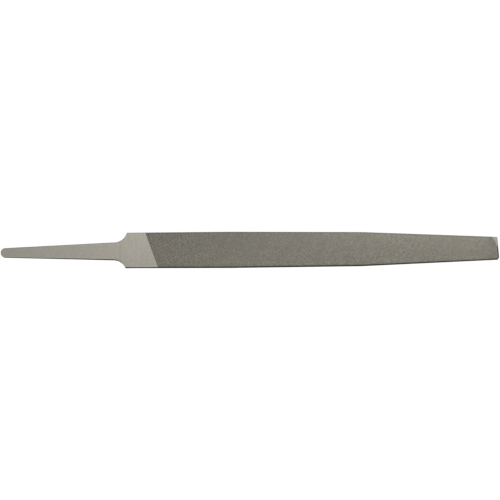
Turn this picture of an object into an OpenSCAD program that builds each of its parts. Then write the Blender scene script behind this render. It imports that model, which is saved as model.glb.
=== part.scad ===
// Flat file for metalwork: a blade with double-cut faces and single-cut edges, tapered in width
// and in thickness, and a bare tang for a handle.
// Millimetres. +X runs from the tang to the point and +Z is up. The file lies on its lower face.
// The origin is on that face's plane, under the middle of the overall length.

/* [Blade] */
// Length of the blade from the shoulder's left-hand corner to the end, the file's nominal size
blade_length = 200; // [170:1:240]
// Width at the shoulder
heel_width = 18.7; // [17.6:0.1:19.6]
// Distance by which the shoulder's right-hand corner lies behind its left-hand one
shoulder_skew = 1; // [0:0.1:1.5]
// Greatest width of the blade
belly_width = 19.1; // [18.6:0.1:20.5]
// Share of the blade's length at which it is widest
belly_place = 0.28; // [0.2:0.01:0.4]
// Width where the taper to the point starts
taper_width = 18; // [16:0.1:18.8]
// Share of the blade's length at which that taper starts
taper_place = 0.63; // [0.55:0.01:0.75]
// Thickness of the parallel part of the blade
blade_thickness = 5; // [4.6:0.1:6]
// Share of the blade's length at which it starts to get thinner
thinning_place = 0.5; // [0.4:0.01:0.7]

/* [Point] */
// Width of the blade at the point
point_width = 12; // [9:0.1:14]
// Thickness of the blade at the point, before the bevel
point_thickness = 3.4; // [3:0.1:4]
// Angle by which the end is out of square
end_skew = 4.2; // [0:0.1:6]
// Length of the bevel at the end of each face
end_bevel = 0.8; // [0.4:0.1:1.2]
// Length of the cut at the right-hand corner of the end, along the file
corner_cut_length = 0.7; // [0.2:0.1:1]
// Width of that cut, across the file
corner_cut_width = 1.2; // [0.5:0.1:2.5]

/* [Tang] */
// Length of the tang from the shoulder to its tip
tang_length = 67.8; // [55:0.1:80]
// Width of the tang where it leaves the shoulder
tang_root_width = 9.7; // [8.6:0.1:10.6]
// Width of the tang's rounded tip
tang_tip_width = 5; // [4:0.1:6]
// Thickness of the tang at its tip
tang_tip_thickness = 2.8; // [2:0.1:3.6]
// Distance from the shoulder to the crease where the tang starts to get thinner
crease_distance = 3.5; // [2:0.5:6]
// Radius of the hollow corner between the tang and the shoulder
corner_radius = 7; // [6.4:0.1:8]
// Width of the flat land between that corner and the blade's edge
shoulder_land = 0.4; // [0.2:0.1:0.8]
// Distance of the tang's root to the right of the blade's middle line
tang_offset = 0.4; // [0:0.1:0.6]
// Angle by which the tang leans to the right of that line
tang_lean = 0.5; // [0:0.1:0.8]

/* [Cut] */
// Angle between the rows of teeth and the file's length
row_angle = 70; // [62:1:80]
// Angle between the last row of teeth and the file's length
last_row_angle = 60; // [55:1:75]
// Length of the smooth heel, along the middle of the face
smooth_heel = 13.4; // [10:0.1:25]
// Length of the smooth corner that the last row leaves at the end, along the face's left edge
smooth_corner = 3.8; // [2:0.1:4.4]
// Depth of the toothed layer on the faces
face_cut_depth = 0.4; // [0.2:0.05:0.6]
// Depth of the toothed layer on the edges
edge_cut_depth = 0.3; // [0.2:0.05:0.5]

/* [Hidden] */

// Flat steps that the curve of the blade's faces is made of
thinning_steps = 12;
// Flat steps that each round stretch of the tang's outline is made of
arc_steps = 20;
// Angle by which the hollow corner's arc runs on into the blade
overrun = 3;
// Slope of the bevel at the end
bevel_slope = 0.5;
// Length by which a cutting shape passes the solid that it cuts
past = 5;
reach = blade_length + tang_length;

thinning_start = thinning_place * blade_length;
edge_cut_length = blade_length - smooth_heel - end_bevel;

// Distance from the blade's middle line to the land beside its edge
land_start = heel_width / 2 - shoulder_land;
tip_radius = tang_tip_width / 2;
tip_centre = (tip_radius - tang_length) * [cos(tang_lean), sin(tang_lean)] - [0, tang_offset];
// Angle of each side of the tang to the tang's own middle line
side_angle = atan((tang_root_width / 2 - tip_radius) / (tang_length - tip_radius));

// The tang's two sides, 1 on the left and -1 on the right, are worked out as if each were the left
// one. The right one's points are turned over when the outline is put together.

// Angle of a side to the file's length
function side_slope(side) = side_angle + side * tang_lean;

// Where a side touches the arc of the tip
function tip_touch(side) =
    [tip_centre.x, side * tip_centre.y]
    + tip_radius * [-sin(side_slope(side)), cos(side_slope(side))];

// Distance of a side from the blade's middle line, at a distance x from the shoulder
function side_distance(x, side) =
    tip_touch(side).y + (x - tip_touch(side).x) * tan(side_slope(side));

// Place along the file at which the shoulder's land starts on a side
function land_x(side) = shoulder_skew * (side * land_start / heel_width - 0.5);

// Centre of the arc that touches a side and meets the land at the shoulder
function corner_centre(side) = let (
    slope = tan(side_slope(side)),
    rise = corner_radius / cos(side_slope(side)),
    drop = side_distance(land_x(side), side) + rise - land_start,
    back = (drop * slope + sqrt(pow(rise, 2) - pow(drop, 2))) / (1 + pow(slope, 2)),
    x = land_x(side) - back
) [x, side_distance(x, side) + rise];

// Points along an arc
function arc(centre, radius, from, to) = [
    for (i = [0:arc_steps])
        let (angle = from + (to - from) * i / arc_steps)
        centre + radius * [cos(angle), sin(angle)]
];

// The hollow corner of a side, from the tang to the land and a little way into the blade
function corner_arc(side) = arc(
    corner_centre(side),
    corner_radius,
    side_slope(side) - 90,
    asin((land_start - corner_centre(side).y) / corner_radius) + overrun
);

function turned_over(points) = [for (p = points) [p.x, -p.y]];

function backwards(points) = [for (i = [len(points) - 1:-1:0]) points[i]];

// The tang's outline, from the tip along the right side to the shoulder and back along the left
tang_outline = concat(
    arc(tip_centre, tip_radius, 90 + side_slope(1), 270 - side_slope(-1)),
    turned_over(corner_arc(-1)),
    backwards(corner_arc(1))
);

// Thickness of the blade at a distance x from the shoulder
function thickness_at(x) =
    blade_thickness - (blade_thickness - point_thickness)
        * pow((x - thinning_start) / (blade_length - thinning_start), 2);

// One side of the blade's outline, from the shoulder to past the end
function blade_side(shoulder_x) = let (
    end_slope = (taper_width - point_width) / 2 / (blade_length * (1 - taper_place))
) [
    [shoulder_x, heel_width / 2],
    [belly_place * blade_length, belly_width / 2],
    [taper_place * blade_length, taper_width / 2],
    [blade_length + past, point_width / 2 - past * end_slope],
];

blade_outline = concat(
    blade_side(0),
    backwards(turned_over(blade_side(-shoulder_skew)))
);

// The upper half of the blade's side view, from the shoulder to past the end
blade_face = concat(
    [[-shoulder_skew, blade_thickness / 2]],
    [for (i = [0:thinning_steps + 1])
        let (x = thinning_start + (blade_length - thinning_start) * i / thinning_steps)
        [x, thickness_at(x) / 2]]
);

// The upper half of the end's side view: the slope of its bevel carried on back over the file, and
// a level stretch past the end
end_face = [
    [-reach, point_thickness / 2 + (reach - end_bevel) * bevel_slope],
    [0, point_thickness / 2 - end_bevel * bevel_slope],
    [past, point_thickness / 2 - end_bevel * bevel_slope],
];

// The upper half of the tang's side view
tang_face = [
    [-tang_length, tang_tip_thickness / 2],
    [-crease_distance, blade_thickness / 2],
    [past, blade_thickness / 2],
];

// A closed outline made from half of it, with both halves set in by a depth
module both_halves(half, inset = 0) {
    set_in = [for (p = half) [p.x, p.y - inset]];
    polygon(concat(set_in, backwards(turned_over(set_in))));
}

// Raises a plan to a solid that passes the file above and below
module tall() {
    linear_extrude(height = 4 * blade_thickness, center = true)
        children();
}

// Turns a side view into a solid that passes the file on both edges
module wide() {
    rotate([90, 0, 0])
        linear_extrude(height = 4 * belly_width, center = true)
            children();
}

// Puts a shape at the end of the file, out of square
module at_end() {
    translate([blade_length, corner_cut_width - point_width / 2])
        rotate([0, 0, end_skew])
            children();
}

// The plan of everything behind the end, which has its right-hand corner cut off
module behind_end() {
    over = 3;
    polygon([
        [0, 0],
        [0, reach],
        [-2 * reach, reach],
        [-2 * reach, -over * corner_cut_width],
        [-over * corner_cut_length, -over * corner_cut_width],
    ]);
}

// The space between the two faces of the blade, with both set in by a depth
module between_faces(inset = 0) {
    intersection() {
        wide() both_halves(blade_face, inset);
        at_end() wide() both_halves(end_face, inset);
    }
}

// The blade about its own middle plane
module blade() {
    intersection() {
        tall()
            intersection() {
                polygon(blade_outline);
                at_end() behind_end();
            }
        between_faces();
    }
}

module tang() {
    intersection() {
        tall() polygon(tang_outline);
        wide() both_halves(tang_face);
    }
}

// The stretch between the first and the last row of teeth, with its ends along those rows
module cut_stretch() {
    last = [blade_length - smooth_corner, point_width / 2];
    lean = reach / tan(row_angle);
    last_lean = reach / tan(last_row_angle);
    polygon([
        [smooth_heel - lean, reach],
        last + [-last_lean, reach],
        last + [last_lean, -reach],
        [smooth_heel + lean, -reach],
    ]);
}

// Everything over the bed of a face's toothed layer: the upper face's, or with roll = 180 the lower
// one's
module above_bed(roll) {
    difference() {
        rotate([roll, 0, 0])
            linear_extrude(height = 2 * blade_thickness)
                cut_stretch();
        between_faces(face_cut_depth);
    }
}

// Everything beside the bed of an edge's toothed layer, between the two face layers: the left
// edge's, or with roll = 180 the right one's
module beside_bed(roll) {
    difference() {
        intersection() {
            between_faces(face_cut_depth);
            rotate([roll, 0, 0])
                translate([smooth_heel, 0, -blade_thickness])
                    cube([edge_cut_length, belly_width, 2 * blade_thickness]);
        }
        tall() both_halves(blade_side(0), edge_cut_depth);
    }
}

// The part of the blade that lies in a space beside or above a bed
module part_of_blade() {
    intersection() {
        blade();
        children();
    }
}

// Puts a solid in its place: the lower face on z = 0, and the overall length centred
module placed() {
    translate([(tang_length - blade_length) / 2, 0, blade_thickness / 2])
        children();
}

module file_blank() {
    color([0.63, 0.62, 0.58])
        placed()
            difference() {
                union() {
                    tang();
                    blade();
                }
                for (roll = [0, 180]) {
                    above_bed(roll);
                    beside_bed(roll);
                }
            }
}

module upper_face_teeth() {
    color([0.49, 0.48, 0.45])
        placed()
            part_of_blade()
                above_bed(0);
}

module lower_face_teeth() {
    color([0.49, 0.48, 0.45])
        placed()
            part_of_blade()
                above_bed(180);
}

module left_edge_teeth() {
    color([0.42, 0.41, 0.38])
        placed()
            part_of_blade()
                beside_bed(0);
}

module right_edge_teeth() {
    color([0.42, 0.41, 0.38])
        placed()
            part_of_blade()
                beside_bed(180);
}

file_blank();
upper_face_teeth();
lower_face_teeth();
left_edge_teeth();
right_edge_teeth();
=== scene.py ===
import math
import random

import bmesh
import bpy
import numpy as np
from mathutils import Matrix, Vector
from mathutils.bvhtree import BVHTree


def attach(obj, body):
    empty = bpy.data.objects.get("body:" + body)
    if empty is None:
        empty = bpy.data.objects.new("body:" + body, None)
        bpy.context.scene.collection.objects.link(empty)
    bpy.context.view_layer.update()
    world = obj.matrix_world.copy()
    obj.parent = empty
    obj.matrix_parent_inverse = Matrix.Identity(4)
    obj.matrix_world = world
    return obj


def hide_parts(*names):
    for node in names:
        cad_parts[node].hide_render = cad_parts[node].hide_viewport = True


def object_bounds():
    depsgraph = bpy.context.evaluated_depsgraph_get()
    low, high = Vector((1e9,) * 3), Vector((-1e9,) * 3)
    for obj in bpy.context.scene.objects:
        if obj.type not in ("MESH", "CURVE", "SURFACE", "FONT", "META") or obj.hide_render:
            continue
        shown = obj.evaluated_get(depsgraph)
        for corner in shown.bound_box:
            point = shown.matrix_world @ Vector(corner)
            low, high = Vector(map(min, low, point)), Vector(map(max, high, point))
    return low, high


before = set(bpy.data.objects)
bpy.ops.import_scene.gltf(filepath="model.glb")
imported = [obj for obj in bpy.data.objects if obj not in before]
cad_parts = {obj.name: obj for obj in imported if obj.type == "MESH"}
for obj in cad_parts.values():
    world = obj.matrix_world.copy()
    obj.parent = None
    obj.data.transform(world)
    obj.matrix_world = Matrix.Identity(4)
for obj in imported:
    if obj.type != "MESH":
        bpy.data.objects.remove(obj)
cad_low, cad_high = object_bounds()

# Lengths are in metres: a number of millimetres is written as that number times MM.
MM = 0.001
SEED = 7

# ---------------------------------------------------------------- camera

CAMERA_LENS = 150
SENSOR = 36
CAMERA_ELEVATION = math.radians(83)
CAMERA_ROLL = math.radians(0.33)
# Width of the picture at the file's distance, as a share of the file's length
FRAME_MARGIN = 1.0041
# Place that the camera looks at, from the middle of the file
CAMERA_TARGET = Vector((0.1, -0.1, 0)) * MM


def add_camera():
    """Looks almost straight down on the upper face, with the right-hand edge just in view."""
    target = (cad_low + cad_high) / 2 + CAMERA_TARGET
    distance = (cad_high.x - cad_low.x) * FRAME_MARGIN * CAMERA_LENS / SENSOR
    back = Vector((0, -math.cos(CAMERA_ELEVATION), math.sin(CAMERA_ELEVATION)))
    data = bpy.data.cameras.new("camera")
    data.lens = CAMERA_LENS
    data.sensor_width = SENSOR
    data.clip_start = 0.05
    data.clip_end = 50
    camera = bpy.data.objects.new("camera", data)
    bpy.context.scene.collection.objects.link(camera)
    look = (-back).to_track_quat("-Z", "Y").to_matrix().to_4x4()
    roll = Matrix.Rotation(-CAMERA_ROLL, 4, "Z")
    camera.matrix_world = Matrix.Translation(target + back * distance) @ look @ roll
    bpy.context.scene.camera = camera


# ---------------------------------------------------------------- light and floor

HORIZON_LIGHT = (0.95, 0.95, 0.93, 1)
ZENITH_LIGHT = (0.62, 0.62, 0.61, 1)
# Upward parts of the directions that have these colours
HORIZON_UP = 0.1
ZENITH_UP = 0.95
# Strength of the light from the camera's side and from the far side
FRONT_LIGHT = 1.8
BACK_LIGHT = 0.2
# Upward parts of a direction between which the difference of front and back fades in
FADE_FROM = 0.08
FADE_TO = 0.4
# The floor is a light table: nearly all of its white is its own glow, so the file casts no shadow
FLOOR_GLOW = 0.97
FLOOR_COLOUR = (0.1, 0.1, 0.1, 1)
FLOOR_ROUGHNESS = 0.9
# Half the floor's side, in metres
FLOOR_HALF = 6
# A big soft light over the point, and a lower one on the camera's side: name, place, target, size,
# power and colour of each, with lengths in metres
SOFTBOXES = (
    ("overhead", (0.75, 0.25, 1.1), (0.05, 0, 0), (0.9, 0.9), 1.5, (1, 0.99, 0.97)),
    ("front", (0.1, -1.2, 0.9), (0, 0, 0), (1.2, 0.7), 2.5, (1, 0.98, 0.95)),
)


def add_softbox(name, place, target, size, power, colour):
    """A rectangular area light at a place, turned towards a target."""
    data = bpy.data.lights.new(name, "AREA")
    data.shape = "RECTANGLE"
    data.size, data.size_y = size
    data.energy = power
    data.color = colour
    light = bpy.data.objects.new(name, data)
    light.location = place
    light.rotation_euler = (Vector(target) - Vector(place)).to_track_quat("-Z", "Y").to_euler()
    bpy.context.scene.collection.objects.link(light)


def add_world():
    """A pale tent of light, paler near the horizon, brighter in front and dimmer at the back."""
    world = bpy.data.worlds.new("studio")
    world.use_nodes = True
    nodes = world.node_tree.nodes
    links = world.node_tree.links
    direction = nodes.new("ShaderNodeTexCoord")
    split = nodes.new("ShaderNodeSeparateXYZ")
    links.new(direction.outputs["Generated"], split.inputs["Vector"])
    ramp = nodes.new("ShaderNodeValToRGB")
    links.new(split.outputs["Z"], ramp.inputs["Fac"])
    horizon, zenith = ramp.color_ramp.elements
    horizon.position, horizon.color = HORIZON_UP, HORIZON_LIGHT
    zenith.position, zenith.color = ZENITH_UP, ZENITH_LIGHT
    side = nodes.new("ShaderNodeMapRange")
    links.new(split.outputs["Y"], side.inputs["Value"])
    side.inputs["From Min"].default_value = -1
    side.inputs["To Min"].default_value = FRONT_LIGHT
    side.inputs["To Max"].default_value = BACK_LIGHT
    # The difference between front and back fades out towards the horizon.
    above = nodes.new("ShaderNodeMapRange")
    links.new(split.outputs["Z"], above.inputs["Value"])
    above.inputs["From Min"].default_value = FADE_FROM
    above.inputs["From Max"].default_value = FADE_TO
    fade = nodes.new("ShaderNodeMix")
    links.new(above.outputs["Result"], fade.inputs["Factor"])
    fade.inputs["A"].default_value = 1
    links.new(side.outputs["Result"], fade.inputs["B"])
    background = nodes["Background"]
    links.new(ramp.outputs["Color"], background.inputs["Color"])
    links.new(fade.outputs["Result"], background.inputs["Strength"])
    bpy.context.scene.world = world


def add_floor():
    """A white square that the file lies on."""
    mesh = bpy.data.meshes.new("floor")
    corners = [(x * FLOOR_HALF, y * FLOOR_HALF, 0) for x, y in ((-1, -1), (1, -1), (1, 1), (-1, 1))]
    mesh.from_pydata(corners, [], [(0, 1, 2, 3)])
    floor = bpy.data.objects.new("floor", mesh)
    bpy.context.scene.collection.objects.link(floor)
    material = bpy.data.materials.new("floor_white")
    material.use_nodes = True
    shader = material.node_tree.nodes["Principled BSDF"]
    shader.inputs["Base Color"].default_value = FLOOR_COLOUR
    shader.inputs["Roughness"].default_value = FLOOR_ROUGHNESS
    shader.inputs["Emission Color"].default_value = (1, 1, 1, 1)
    shader.inputs["Emission Strength"].default_value = FLOOR_GLOW
    mesh.materials.append(material)


# ---------------------------------------------------------------- copies of the CAD's solids

# Width, on each face, of the rounding of the worn outer edges
EDGE_WEAR = 0.32 * MM
WEAR_STEPS = 3
# An edge whose faces turn by more than this is worn
SHARP_EDGE = math.radians(40)
# Faces that turn by less than this are shaded as one curve
SMOOTH_BELOW = math.radians(12)
# A face whose normal is more upright than this belongs to a flat face and is shaded flat
FLAT_ABOVE = 0.98
# A face whose normal is less upright than this belongs to the file's side
SIDE_BELOW = 0.8
# Corners closer together than this are one
WELD = 0.001 * MM
# Faces that turn by less than this are one
FLAT = math.radians(0.03)
# A face that lies closer than this to another node touches it
CONTACT = 0.004 * MM


def others_surface(node):
    """A search tree of the surfaces of all CAD nodes but one."""
    points = []
    triangles = []
    for name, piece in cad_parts.items():
        if name != node:
            first = len(points)
            points += [vertex.co.copy() for vertex in piece.data.vertices]
            triangles += [[first + i for i in face.vertices] for face in piece.data.polygons]
    return BVHTree.FromPolygons(points, triangles)


def worn_copy(node):
    """A bmesh of a CAD node with its outer edges rounded, but not those where it meets another."""
    mesh = bmesh.new()
    mesh.from_mesh(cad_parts[node].data)
    bmesh.ops.remove_doubles(mesh, verts=mesh.verts, dist=WELD)
    bmesh.ops.dissolve_limit(mesh, angle_limit=FLAT, verts=mesh.verts, edges=mesh.edges)
    others = others_surface(node)

    def is_outer(face):
        corners = [vertex.co for vertex in face.verts[:3]]
        places = face.calc_center_median(), sum(corners, Vector()) / 3
        return all(others.find_nearest(place)[3] > CONTACT for place in places)

    outer = {face for face in mesh.faces if is_outer(face)}
    edges = [
        edge for edge in mesh.edges
        if edge.is_convex
        and edge.calc_face_angle() > SHARP_EDGE
        and all(face in outer for face in edge.link_faces)
    ]
    if edges:
        bmesh.ops.bevel(
            mesh, geom=edges, offset=EDGE_WEAR, offset_type="OFFSET", segments=WEAR_STEPS,
            profile=0.5, affect="EDGES", clamp_overlap=False,
        )
    bmesh.ops.triangulate(mesh, faces=mesh.faces)
    return mesh


def turn_about_file(angle):
    """The turn about the line through the middle of the file's thickness."""
    middle = Vector((0, 0, (cad_low.z + cad_high.z) / 2))
    return Matrix.Translation(middle) @ Matrix.Rotation(angle, 4, "X") @ Matrix.Translation(-middle)


def surface_height(node, roll):
    """The height of a CAD layer's outer surface, turned back by roll, over or beside any place."""
    mesh = bmesh.new()
    mesh.from_mesh(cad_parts[node].data)
    mesh.transform(turn_about_file(-roll))
    top = max(vertex.co.z for vertex in mesh.verts)
    tree = BVHTree.FromBMesh(mesh)
    mesh.free()

    def height(place):
        above = Vector((place.x, place.y, top + CONTACT))
        hit = tree.ray_cast(above, Vector((0, 0, -1)))[0]
        return (hit or tree.find_nearest(above)[0]).z

    return height


def new_piece(name, mesh):
    data = bpy.data.meshes.new(name)
    mesh.to_mesh(data)
    mesh.free()
    piece = bpy.data.objects.new(name, data)
    bpy.context.scene.collection.objects.link(piece)
    return piece


def keep_inside(piece, solid):
    """Cuts a piece down to what lies inside a solid, which is then deleted."""
    modifier = piece.modifiers.new("inside", "BOOLEAN")
    modifier.operation = "INTERSECT"
    modifier.solver = "MANIFOLD"
    modifier.object = solid
    bpy.context.view_layer.update()
    evaluated = piece.evaluated_get(bpy.context.evaluated_depsgraph_get())
    data = bpy.data.meshes.new_from_object(evaluated)
    piece.modifiers.clear()
    piece.data = data
    bpy.data.objects.remove(solid)


# ---------------------------------------------------------------- teeth

# The rows of teeth of a cut lean from the left edge back towards the right. Angles are from the
# file's length. Along a row, the second cut's grooves part the teeth from each other.
FACE_CUT = {
    "row_angle": math.radians(-70),
    "row_pitch": 0.66 * MM,
    "depth": 0.27 * MM,
    "second_angle": math.radians(46),
    "second_pitch": 0.92 * MM,
    "second_depth": 0.13 * MM,
}
EDGE_CUT = {
    "row_angle": math.radians(-76),
    "row_pitch": 0.72 * MM,
    "depth": 0.15 * MM,
    "second_angle": 0,
    "second_pitch": 0.85 * MM,
    "second_depth": 0.012 * MM,
}
# Place of a tooth's crest between its row's gullet and the next, where the steep side starts
CREST_PLACE = 0.66
# Depth of the highest crests below the CAD's surface
SKIN = 0.004 * MM
# How far the slab that the teeth are cut in reaches below the layer
SLAB_DEPTH = 1 * MM
# Rows and grooves that the slab has beyond the layer
SPARE_CELLS = 2
# A face whose normal lies across the file by more than this is on one of the long sides
SIDE_ALONG = 0.9
# Width of the rims of painted shade along the long sides
RIM_WIDTH = 0.55 * MM
# Unevenness of the rows, of the second cut's grooves and of single points, as shares of a pitch
ROW_WANDER = 0.08
SECOND_WANDER = 0.04
POINT_WANDER = 0.14
# Unevenness of the crests and of the gullets in height
CREST_WEAR = 0.05 * MM
GULLET_WANDER = 0.015 * MM


def unit(angle):
    return Vector((math.cos(angle), math.sin(angle)))


def cut_field(name, layer, surface, cut):
    """A closed slab, larger than the layer, whose upper side is cut with teeth."""
    rng = random.Random(f"{SEED} {name}")
    low = [min(vertex.co[i] for vertex in layer.verts) for i in range(3)]
    high = [max(vertex.co[i] for vertex in layer.verts) for i in range(3)]
    origin = min(layer.verts, key=lambda vertex: vertex.co.x).co.xy
    along_row = unit(cut["row_angle"])
    along_second = unit(cut["second_angle"])
    across_row = Vector((-along_row.y, along_row.x))
    # One step over the rows goes along a groove of the second cut, and one step along a row goes
    # from groove to groove.
    step_rows = along_second * (cut["row_pitch"] / along_second.dot(across_row))
    step_seconds = along_row * (cut["second_pitch"] / abs(along_row.cross(along_second)))
    corners = [Vector((x, y)) - origin for x in (low[0], high[0]) for y in (low[1], high[1])]
    width = max(corner.dot(across_row) for corner in corners)
    last_row = int(width / cut["row_pitch"]) + SPARE_CELLS
    row_shifts = {}
    second_shifts = {}

    def shift(shifts, key, wander):
        if key not in shifts:
            shifts[key] = rng.uniform(-wander, wander)
        return shifts[key]

    def tooth_point(i, j):
        """The point i half-rows over the rows and j half-grooves along them."""
        row, is_crest = divmod(i, 2)
        second, is_tip = divmod(j, 2)
        u = row + CREST_PLACE * is_crest + shift(row_shifts, row, ROW_WANDER)
        v = second + 0.5 * is_tip + shift(second_shifts, second, SECOND_WANDER)
        u += rng.uniform(-POINT_WANDER, POINT_WANDER)
        v += rng.uniform(-POINT_WANDER, POINT_WANDER)
        place = origin + step_rows * u + step_seconds * v
        if not is_crest:
            depth = cut["depth"] + rng.uniform(-GULLET_WANDER, GULLET_WANDER)
        elif is_tip:
            depth = rng.uniform(0, CREST_WEAR)
        else:
            depth = cut["second_depth"] + rng.uniform(0, CREST_WEAR)
        return place, surface(place) - SKIN - depth

    mesh = bmesh.new()
    below = low[2] - SLAB_DEPTH
    columns = {}

    def column(i, j):
        """The upper and the lower corner of the slab at a grid point."""
        if (i, j) not in columns:
            place, height = tooth_point(i, j)
            columns[i, j] = [mesh.verts.new((*place, z)) for z in (height, below)]
        return columns[i, j]

    rim = set()

    def cell(corners):
        """A cell of the grid, split from the tip, which is its first corner."""
        for triangle in (corners[:3], corners[:1] + corners[2:]):
            upper, lower = zip(*[column(*corner) for corner in triangle])
            mesh.faces.new(upper)
            mesh.faces.new(lower[::-1])
        for a, b in zip(corners, corners[1:] + corners[:1]):
            if (b, a) in rim:
                rim.discard((b, a))
            else:
                rim.add((a, b))

    for row in range(-1, last_row):
        start = origin.y + step_rows.y * row
        ends = [(y - start) / step_seconds.y for y in (low[1], high[1])]
        first_groove = math.floor(min(ends)) - SPARE_CELLS
        last_groove = math.ceil(max(ends)) + SPARE_CELLS
        for second in range(first_groove, last_groove):
            tip = (2 * row + 1, 2 * second + 1)
            around = [(1, 0), (1, 1), (0, 1), (-1, 1), (-1, 0), (-1, -1), (0, -1), (1, -1), (1, 0)]
            for k in range(0, 8, 2):
                cell([tip] + [(tip[0] + di, tip[1] + dj) for di, dj in around[k:k + 3]])
    for a, b in rim:
        mesh.faces.new([*columns[b], *columns[a][::-1]])
    bmesh.ops.recalc_face_normals(mesh, faces=mesh.faces)
    return mesh


def side_distance(node):
    """The distance of any place from the long sides of a CAD layer."""
    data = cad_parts[node].data
    sides = [face.vertices for face in data.polygons if abs(face.normal.y) > SIDE_ALONG]
    tree = BVHTree.FromPolygons([vertex.co for vertex in data.vertices], sides)
    return lambda place: tree.find_nearest(place)[3]


def store(piece, name, values):
    """Stores a share from 0 to 1 at each point of a piece."""
    attribute = piece.data.attributes.new(name, "FLOAT", "POINT")
    attribute.data.foreach_set("value", np.clip(values, 0, 1).astype(np.float32))


def add_teeth(node, name, roll, cut, material):
    """Teeth in place of a CAD layer, which is turned back by roll while they are made."""
    layer = worn_copy(node)
    layer.transform(turn_about_file(-roll))
    surface = surface_height(node, roll)
    piece = new_piece(name, cut_field(name, layer, surface, cut))
    keep_inside(piece, new_piece(name + "_layer", layer))
    # How high each point stands, from 0 in the gullets to 1 on the crests
    points = [vertex.co for vertex in piece.data.vertices]
    store(piece, "crest", [1 + (point.z - surface(point)) / cut["depth"] for point in points])
    piece.data.transform(turn_about_file(roll))
    # How near each point is to the long sides, for the painted shade along them
    distance = side_distance(node)
    store(piece, "rim", [1 - distance(vertex.co) / RIM_WIDTH for vertex in piece.data.vertices])
    piece.data.materials.clear()
    piece.data.materials.append(material)
    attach(piece, "root")
    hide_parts(node)
    return piece


def add_blank(face_material, side_material):
    """The tang, the heel, the core under the teeth and the smooth corners of the point."""
    piece = new_piece("blank", worn_copy("file_blank"))
    piece.data.materials.append(face_material)
    piece.data.materials.append(side_material)
    piece.data.shade_smooth()
    piece.data.set_sharp_from_angle(angle=SMOOTH_BELOW)
    for face in piece.data.polygons:
        face.material_index = int(abs(face.normal.z) < SIDE_BELOW)
        face.use_smooth = abs(face.normal.z) < FLAT_ABOVE
    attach(piece, "root")
    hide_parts("file_blank")
    return piece


# ---------------------------------------------------------------- materials


class Nodes:
    """Short forms for building a material's node tree."""

    def __init__(self, name):
        self.material = bpy.data.materials.new(name)
        self.material.use_nodes = True
        self.tree = self.material.node_tree
        self.shader = self.tree.nodes["Principled BSDF"]

    def new(self, kind, **inputs):
        node = self.tree.nodes.new("ShaderNode" + kind)
        for name, value in inputs.items():
            self.put(node.inputs[name.replace("_", " ")], value)
        return node

    def put(self, socket, value):
        if isinstance(value, bpy.types.NodeSocket):
            self.tree.links.new(value, socket)
        else:
            socket.default_value = value

    def place(self, scale):
        """Object coordinates, scaled so that a texture's scale is in its cells a millimetre."""
        where = self.new("TexCoord").outputs["Object"]
        per_metre = [1 / MM * share for share in scale]
        mapping = self.new("Mapping", Vector=where, Scale=per_metre)
        return mapping.outputs["Vector"]

    def noise(self, scale, detail=3, roughness=0.5):
        """Noise with so many cells a millimetre along the file, across it and upwards."""
        node = self.new("TexNoise", Vector=self.place(scale), Scale=1.0, Detail=detail)
        node.inputs["Roughness"].default_value = roughness
        return node.outputs["Fac"]

    def ramp(self, factor, low, high, from_value=0.0, to_value=1.0):
        """Maps a factor's stretch from low to high onto a stretch of values."""
        node = self.new("MapRange", Value=factor)
        node.clamp = True
        node.inputs["From Min"].default_value = low
        node.inputs["From Max"].default_value = high
        node.inputs["To Min"].default_value = from_value
        node.inputs["To Max"].default_value = to_value
        return node.outputs["Result"]

    def math(self, operation, a, b):
        node = self.new("Math")
        node.operation = operation
        self.put(node.inputs[0], a)
        self.put(node.inputs[1], b)
        return node.outputs["Value"]

    def mix(self, factor, a, b, blend="MIX"):
        node = self.new("Mix")
        node.data_type = "RGBA"
        node.blend_type = blend
        self.put(node.inputs["Factor"], factor)
        self.put(node.inputs[6], a)
        self.put(node.inputs[7], b)
        return node.outputs[2]

    def attribute(self, name):
        node = self.new("Attribute")
        node.attribute_name = name
        return node.outputs["Fac"]

    def along_and_across(self):
        """Places along and across the file."""
        split = self.new("SeparateXYZ", Vector=self.new("TexCoord").outputs["Object"])
        return split.outputs["X"], split.outputs["Y"]

    def distance_to_row(self, place, angle):
        """Distance from the row of teeth that crosses the file's middle line at a place."""
        x, y = self.along_and_across()
        across_row = self.math("MULTIPLY", self.math("SUBTRACT", x, place), math.sin(angle))
        along_row = self.math("MULTIPLY", y, math.cos(angle))
        return self.math("ABSOLUTE", self.math("SUBTRACT", across_row, along_row), 0)

    def tinted(self, steel):
        """A colour with faint warmer and greener patches."""
        patches = self.noise((0.25, 0.35, 0.35), detail=3)
        tint = self.mix(self.ramp(patches, 0.38, 0.62), WARM_TINT, GREEN_TINT)
        return self.mix(1.0, steel, tint, "MULTIPLY")

    def bump(self, height, strength, distance, normal=None):
        node = self.new("Bump", Height=height, Strength=strength, Distance=distance)
        if normal is not None:
            self.put(node.inputs["Normal"], normal)
        return node.outputs["Normal"]


def colour(red, green, blue):
    return (red, green, blue, 1)


WARM_TINT = colour(1, 0.975, 0.99)
GREEN_TINT = colour(0.985, 1, 0.965)

# Ground steel: the two shades of its grinding lines, its darker grain, clouds and specks, and what
# it tends to at the tang's tip, in the crease (painted shade), beside the first row (a painted
# highlight), on the left side (painted light), and at the smooth corners of the point; the
# grain's colour is also the painted shade of the right side
LINE_DARK = colour(0.56, 0.533, 0.478)
LINE_LIGHT = colour(0.72, 0.686, 0.62)
GRAIN_AND_SHADE_DARK = colour(0.45, 0.428, 0.385)
CLOUD_DARK = colour(0.56, 0.531, 0.49)
SPECK_DARK = colour(0.33, 0.31, 0.26)
TANG_DARK = colour(0.36, 0.34, 0.30)
CREASE_SHADE = colour(0.40, 0.40, 0.33)
FIRST_ROW_HIGHLIGHT = colour(0.78, 0.76, 0.64)
LEFT_PAINTED_LIGHT = colour(0.78, 0.76, 0.66)
CORNER_DARK = colour(0.3, 0.282, 0.25)
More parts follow.
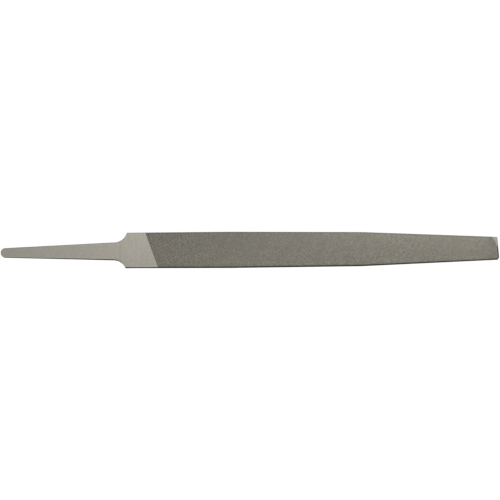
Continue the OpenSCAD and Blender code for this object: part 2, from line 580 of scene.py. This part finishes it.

# Sides: the shades of their forged marks and darker clouds, all painted very dark as painted shade
MARK_DARK = colour(0.045, 0.043, 0.038)
MARK_LIGHT = colour(0.1, 0.096, 0.085)
SIDE_CLOUD_DARK = colour(0.04, 0.038, 0.033)

# Toothed steel: its gullets, darkened as painted shade, its crests, brighter by wear and by
# painted light, and its rims along the long sides, painted shade
FACE_GULLET = colour(0.2, 0.192, 0.165)
FACE_CREST = colour(0.7, 0.668, 0.59)
FACE_RIM_SHADE = colour(0.075, 0.072, 0.063)
# The edges' teeth are painted far darker than the faces': painted shade on the sides
EDGE_GULLET = colour(0.04, 0.039, 0.034)
EDGE_CREST = colour(0.11, 0.105, 0.091)
EDGE_RIM_SHADE = colour(0.05, 0.048, 0.042)

# Places along the file that its colour depends on, and the widths of what lies there
SHOULDER = cad_low.x + 67.8 * MM
CREASE = SHOULDER - 3.5 * MM
CREASE_WIDTH = 0.9 * MM
# The smooth heel ends at the first row of teeth
HEEL_END = SHOULDER + 13.4 * MM
HIGHLIGHT_WIDTH = 1 * MM
# The steel is darker from here to the point
POINT = cad_high.x - 8 * MM
POINT_FADE = 3 * MM
# The end leans from square by this angle, and its bevel, painted darker as painted shade, starts
# here
END_SKEW = math.radians(4.2)
BEVEL_START = cad_high.x - 1.35 * MM
BEVEL_FADE = 0.3 * MM
HALF_WIDTH = cad_high.y
# The crests grow brighter with the distance from the shoulder, up to this place: partly wear,
# and partly a painted gradient of light towards the point
TOOTH_RAMP_END = 78 * MM
HEEL_WEAR_AND_LIGHT = 0.3
POINT_WEAR_AND_LIGHT = 0.97
# Strength of the mottling of the teeth at the shoulder and at that place
HEEL_MOTTLING = 0.24
POINT_MOTTLING = 0.55


def ground_steel():
    """Steel ground across its length, a little darker towards the tang's tip."""
    n = Nodes("ground_steel")
    lines = n.noise((5.0, 0.12, 0.12), detail=4, roughness=0.65)
    fine = n.noise((14.0, 0.4, 0.4), detail=2)
    clouds = n.noise((0.22, 0.3, 0.3), detail=4)
    grain = n.noise((1.1, 1.0, 1.0), detail=4, roughness=0.65)
    specks = n.noise((3.2, 3.2, 3.2), detail=2)
    steel = n.mix(n.ramp(lines, 0.3, 0.7), LINE_DARK, LINE_LIGHT)
    steel = n.mix(n.ramp(grain, 0.4, 0.65, 0, 0.6), steel, GRAIN_AND_SHADE_DARK)
    steel = n.mix(n.ramp(clouds, 0.35, 0.7, 0, 0.3), steel, CLOUD_DARK)
    steel = n.mix(n.ramp(specks, 0.66, 0.8, 0, 0.4), steel, SPECK_DARK)
    x, y = n.along_and_across()
    steel = n.mix(n.ramp(x, cad_low.x, SHOULDER, 0.56, 0.04), steel, TANG_DARK)
    # Painted shade: a darker line along the crease where the tang bends.
    crease = n.math("ABSOLUTE", n.math("SUBTRACT", x, CREASE), 0)
    steel = n.mix(n.ramp(crease, 0, CREASE_WIDTH, 0.35, 0), steel, CREASE_SHADE)
    # A painted highlight: the heel is a little brighter beside the first row of teeth.
    first_row = n.distance_to_row(HEEL_END, FACE_CUT["row_angle"])
    steel = n.mix(n.ramp(first_row, 0, HIGHLIGHT_WIDTH, 0.2, 0), steel, FIRST_ROW_HIGHLIGHT)
    steel = n.mix(n.ramp(x, POINT, POINT + POINT_FADE, 0, 0.5), steel, CORNER_DARK)
    # Painted light and shade: the left side is a little brighter than the right.
    steel = n.mix(n.ramp(y, 0, HALF_WIDTH, 0, 0.22), steel, LEFT_PAINTED_LIGHT)
    steel = n.mix(n.ramp(y, -HALF_WIDTH, 0, 0.28, 0), steel, GRAIN_AND_SHADE_DARK)
    n.put(n.shader.inputs["Base Color"], n.tinted(steel))
    n.put(n.shader.inputs["Metallic"], 1.0)
    fine_part = n.ramp(fine, 0.3, 0.7, 0.36, 0.46)
    cloudy_part = n.ramp(clouds, 0.3, 0.7, -0.03, 0.05)
    n.put(n.shader.inputs["Roughness"], n.math("ADD", fine_part, cloudy_part))
    ground = n.bump(lines, 0.35, 0.02 * MM)
    n.put(n.shader.inputs["Normal"], n.bump(fine, 0.3, 0.006 * MM, ground))
    return n.material


def forged_side_in_painted_shade():
    """The sides' rougher steel with forged marks along it, painted dark as painted shade."""
    n = Nodes("forged_side_in_painted_shade")
    marks = n.noise((0.35, 4.0, 4.0), detail=4, roughness=0.6)
    clouds = n.noise((0.3, 0.5, 0.5), detail=4)
    steel = n.mix(n.ramp(marks, 0.3, 0.7), MARK_DARK, MARK_LIGHT)
    steel = n.mix(n.ramp(clouds, 0.5, 0.8, 0, 0.5), steel, SIDE_CLOUD_DARK)
    n.put(n.shader.inputs["Base Color"], steel)
    n.put(n.shader.inputs["Metallic"], 0.8)
    n.put(n.shader.inputs["Roughness"], n.ramp(clouds, 0.3, 0.7, 0.5, 0.62))
    n.put(n.shader.inputs["Specular IOR Level"], 0.15)
    n.put(n.shader.inputs["Specular Tint"], colour(0.05, 0.05, 0.05))
    n.put(n.shader.inputs["Normal"], n.bump(marks, 0.4, 0.03 * MM))
    return n.material


def toothed_steel(name, gullet, crest, rim):
    """Hardened steel cut with teeth: painted shade in the gullets, crests brighter by wear and
    painted light.
    """
    n = Nodes(name)
    height = n.attribute("crest")
    patches = n.noise((0.5, 0.6, 0.6), detail=5, roughness=0.6)
    grain = n.noise((1.8, 1.7, 1.8), detail=3, roughness=0.6)
    pits = n.noise((1.5, 1.4, 1.9), detail=3, roughness=0.6)
    scratches = n.noise((9.0, 0.6, 0.6), detail=2)
    x, y = n.along_and_across()
    # Partly wear, partly painted light: the crests grow brighter from the shoulder towards the
    # point.
    worn_and_lit = n.ramp(x, SHOULDER, TOOTH_RAMP_END, HEEL_WEAR_AND_LIGHT, POINT_WEAR_AND_LIGHT)
    # Painted shade in the gullets and brighter crests, by each point's height
    steel = n.mix(n.math("MULTIPLY", worn_and_lit, n.ramp(height, 0.15, 0.95)), gullet, crest)
    steel = n.mix(n.ramp(patches, 0.35, 0.7, 0, 0.35), steel, gullet)
    # Towards the point, the left side is painted brighter and the right darker: painted light and
    # shade.
    towards_point = n.ramp(x, 0, TOOTH_RAMP_END)
    left = n.math("MULTIPLY", n.ramp(y, 0, HALF_WIDTH, 0, 0.16), towards_point)
    right = n.math("MULTIPLY", n.ramp(y, -HALF_WIDTH, 0, 0.35, 0), towards_point)
    steel = n.mix(left, steel, crest)
    steel = n.mix(right, steel, gullet)
    mottled = n.ramp(x, SHOULDER, TOOTH_RAMP_END, HEEL_MOTTLING, POINT_MOTTLING)
    steel = n.mix(n.math("MULTIPLY", mottled, n.ramp(grain, 0.45, 0.65)), steel, crest)
    steel = n.mix(n.math("MULTIPLY", mottled, n.ramp(pits, 0.5, 0.68)), steel, gullet)
    # Painted shade: the teeth are darker along the long sides, more on the right side than on the
    # left.
    rim_side = n.ramp(y, -RIM_WIDTH, RIM_WIDTH, 1, 0.5)
    steel = n.mix(n.math("MULTIPLY", n.attribute("rim"), rim_side), steel, rim)
    steel = n.mix(n.ramp(x, POINT, POINT + POINT_FADE, 0, 0.12), steel, rim)
    # The bevel at the end is painted darker too: painted shade.
    end = n.math("ADD", x, n.math("MULTIPLY", y, math.tan(END_SKEW)))
    steel = n.mix(n.ramp(end, BEVEL_START, BEVEL_START + BEVEL_FADE, 0, 0.7), steel, rim)
    n.put(n.shader.inputs["Base Color"], n.tinted(steel))
    n.put(n.shader.inputs["Metallic"], 1.0)
    n.put(n.shader.inputs["Roughness"], n.ramp(grain, 0.3, 0.7, 0.36, 0.5))
    n.put(n.shader.inputs["Specular Tint"], colour(0.1, 0.1, 0.1))
    n.put(n.shader.inputs["Normal"], n.bump(scratches, 0.25, 0.01 * MM))
    return n.material


# ---------------------------------------------------------------- the file on its floor

bpy.context.scene.view_settings.view_transform = "Standard"
add_camera()
add_world()
for softbox in SOFTBOXES:
    add_softbox(*softbox)
add_floor()

FACE_STEEL = toothed_steel("face_steel", FACE_GULLET, FACE_CREST, FACE_RIM_SHADE)
EDGE_STEEL = toothed_steel("edge_steel", EDGE_GULLET, EDGE_CREST, EDGE_RIM_SHADE)
add_blank(ground_steel(), forged_side_in_painted_shade())
add_teeth("upper_face_teeth", "upper_teeth", 0, FACE_CUT, FACE_STEEL)
add_teeth("lower_face_teeth", "lower_teeth", math.pi, FACE_CUT, FACE_STEEL)
add_teeth("left_edge_teeth", "left_teeth", -math.pi / 2, EDGE_CUT, EDGE_STEEL)
add_teeth("right_edge_teeth", "right_teeth", math.pi / 2, EDGE_CUT, EDGE_STEEL)
